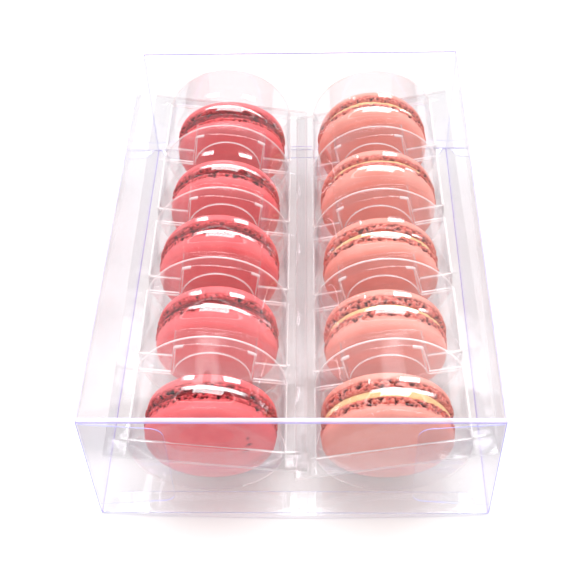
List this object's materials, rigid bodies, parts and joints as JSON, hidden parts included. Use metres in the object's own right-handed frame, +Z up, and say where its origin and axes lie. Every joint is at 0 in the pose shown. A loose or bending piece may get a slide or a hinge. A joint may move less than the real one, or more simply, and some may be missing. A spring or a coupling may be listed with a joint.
{
  "type": "macaron box",
  "caption": "Clear folded carton with hinged clear trays of red and pink macarons standing on edge in rows.",
  "frame": {"origin": "middle of the box's underside", "axes": "+Z up, -Y towards the front end panel, rows along Y, left tray at -X"},
  "size_m": [0.12, 0.1762, 0.049],
  "materials": {
    "carton_film": "clear, glossy",
    "tray_film": "clear, glossy",
    "red_shell": null,
    "pink_shell": null,
    "dark_filling": null,
    "cream_filling": null
  },
  "bodies": {
    "root": {"carton_sleeve": "carton_film", "front_left_dust_flap": "carton_film", "front_right_dust_flap": "carton_film", "back_left_dust_flap": "carton_film", "back_right_dust_flap": "carton_film", "left_tray_base": "tray_film", "left_tray_lid": "tray_film", "left_macaron_1_front_shell": "red_shell", "left_macaron_1_filling": "dark_filling", "left_macaron_1_back_shell": "red_shell", "left_macaron_2_front_shell": "red_shell", "left_macaron_2_filling": "dark_filling", "left_macaron_2_back_shell": "red_shell", "left_macaron_3_front_shell": "red_shell", "left_macaron_3_filling": "dark_filling", "left_macaron_3_back_shell": "red_shell", "left_macaron_4_front_shell": "red_shell", "left_macaron_4_filling": "dark_filling", "left_macaron_4_back_shell": "red_shell", "left_macaron_5_front_shell": "red_shell", "left_macaron_5_filling": "dark_filling", "left_macaron_5_back_shell": "red_shell", "right_tray_base": "tray_film", "right_tray_lid": "tray_film", "right_macaron_1_front_shell": "pink_shell", "right_macaron_1_filling": "cream_filling", "right_macaron_1_back_shell": "pink_shell", "right_macaron_2_front_shell": "pink_shell", "right_macaron_2_filling": "cream_filling", "right_macaron_2_back_shell": "pink_shell", "right_macaron_3_front_shell": "pink_shell", "right_macaron_3_filling": "cream_filling", "right_macaron_3_back_shell": "pink_shell", "right_macaron_4_front_shell": "pink_shell", "right_macaron_4_filling": "cream_filling", "right_macaron_4_back_shell": "pink_shell", "right_macaron_5_front_shell": "pink_shell", "right_macaron_5_filling": "cream_filling", "right_macaron_5_back_shell": "pink_shell"},
    "front_end": {"front_panel": "carton_film", "front_tuck_flap": "carton_film"},
    "back_end": {"back_panel": "carton_film", "back_tuck_flap": "carton_film"}
  },
  "joints": [
    {"name": "front_panel_hinge", "type": "hinge", "parent": "root", "child": "front_end", "pos_m": [0, -0.08525, 0.049], "axis": [-1, 0, 0], "range_deg": [0, 120]},
    {"name": "back_panel_hinge", "type": "hinge", "parent": "root", "child": "back_end", "pos_m": [0, 0.08525, 0.049], "axis": [1, 0, 0], "range_deg": [0, 120]}
  ]
}
